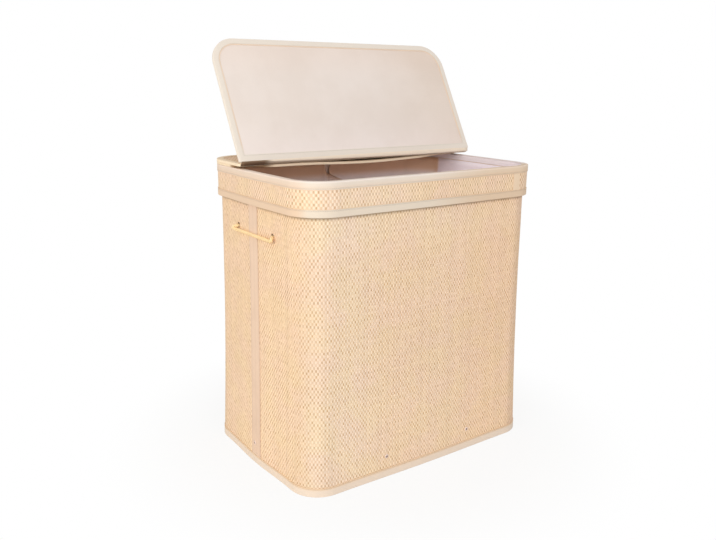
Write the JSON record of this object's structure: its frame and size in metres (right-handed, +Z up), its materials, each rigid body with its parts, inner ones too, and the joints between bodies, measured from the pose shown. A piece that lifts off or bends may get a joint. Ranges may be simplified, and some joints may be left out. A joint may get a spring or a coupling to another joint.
{
  "type": "laundry hamper with two bins",
  "caption": "Tall rounded-rectangular hamper in woven cloth over board walls, with liner bags side by side, rope handles and a lift-off lid whose front half is a hinged flap.",
  "frame": {"origin": "middle of the underside of the base, on the floor", "axes": "+Z up, front of the hamper towards -Y, the rope handles on the -X and +X sides"},
  "size_m": [0.5998, 0.4042, 0.8467],
  "materials": {
    "weave": "woven paper straw, matt, sand yellow",
    "edge_tape": "plain woven tape, matt, cream",
    "lining": "thin plain cloth, matt, off-white",
    "flap_lining": "coated cloth, satin, cream",
    "hook_strip": "hook and loop strip, matt, cream",
    "board": "pressed board, matt, grey brown",
    "rope": "twisted cotton rope, matt, straw yellow",
    "rivet": "nickel plated, satin"
  },
  "bodies": {
    "body": {"body_cover": "weave", "body_lining": "lining", "left_fold_tape": "edge_tape", "right_fold_tape": "edge_tape", "front_board": "board", "front_left_corner_board": "board", "front_right_corner_board": "board", "back_board": "board", "back_left_corner_board": "board", "back_right_corner_board": "board", "left_front_board": "board", "left_rear_board": "board", "right_front_board": "board", "right_rear_board": "board", "body_bottom_binding": "edge_tape", "body_top_binding": "edge_tape", "floor_panel": "lining", "base_board": "board", "front_left_rivet": "rivet", "front_right_rivet": "rivet", "back_left_rivet": "rivet", "back_right_rivet": "rivet", "left_rivet": "rivet", "right_rivet": "rivet", "left_liner_bag": "lining", "right_liner_bag": "lining", "left_hook_strip": "hook_strip", "right_hook_strip": "hook_strip"},
    "lid": {"lid_skirt_cover": "weave", "lid_skirt_board": "board", "lid_skirt_lining": "lining", "lid_lower_binding": "edge_tape", "lid_rim_binding": "edge_tape", "skirt_seam_tape": "edge_tape", "lid_shelf_lining": "lining", "lid_shelf_board": "board", "lid_shelf_binding": "edge_tape", "rear_panel_board": "board", "rear_panel_cover": "weave", "rear_panel_binding": "edge_tape", "lid_hinge_fold": "weave"},
    "flap": {"flap_lining": "flap_lining", "flap_board": "board", "flap_cover": "weave", "flap_binding": "edge_tape"},
    "left_rope": {"left_handle": "rope"},
    "right_rope": {"right_handle": "rope"}
  },
  "joints": [
    {"name": "lid_lift", "type": "slide", "parent": "body", "child": "lid", "axis": [0, 0, 1], "range_m": [0, 0.12]},
    {"name": "flap_hinge", "type": "hinge", "parent": "lid", "child": "flap", "pos_m": [0, 0.037, 0.6115], "axis": [-1, 0, 0], "range_deg": [-119.5, 61]},
    {"name": "left_handle_pull", "type": "slide", "parent": "body", "child": "left_rope", "axis": [-1, 0, 0], "range_m": [0, 0.012]},
    {"name": "right_handle_pull", "type": "slide", "parent": "body", "child": "right_rope", "axis": [1, 0, 0], "range_m": [0, 0.012]}
  ]
}
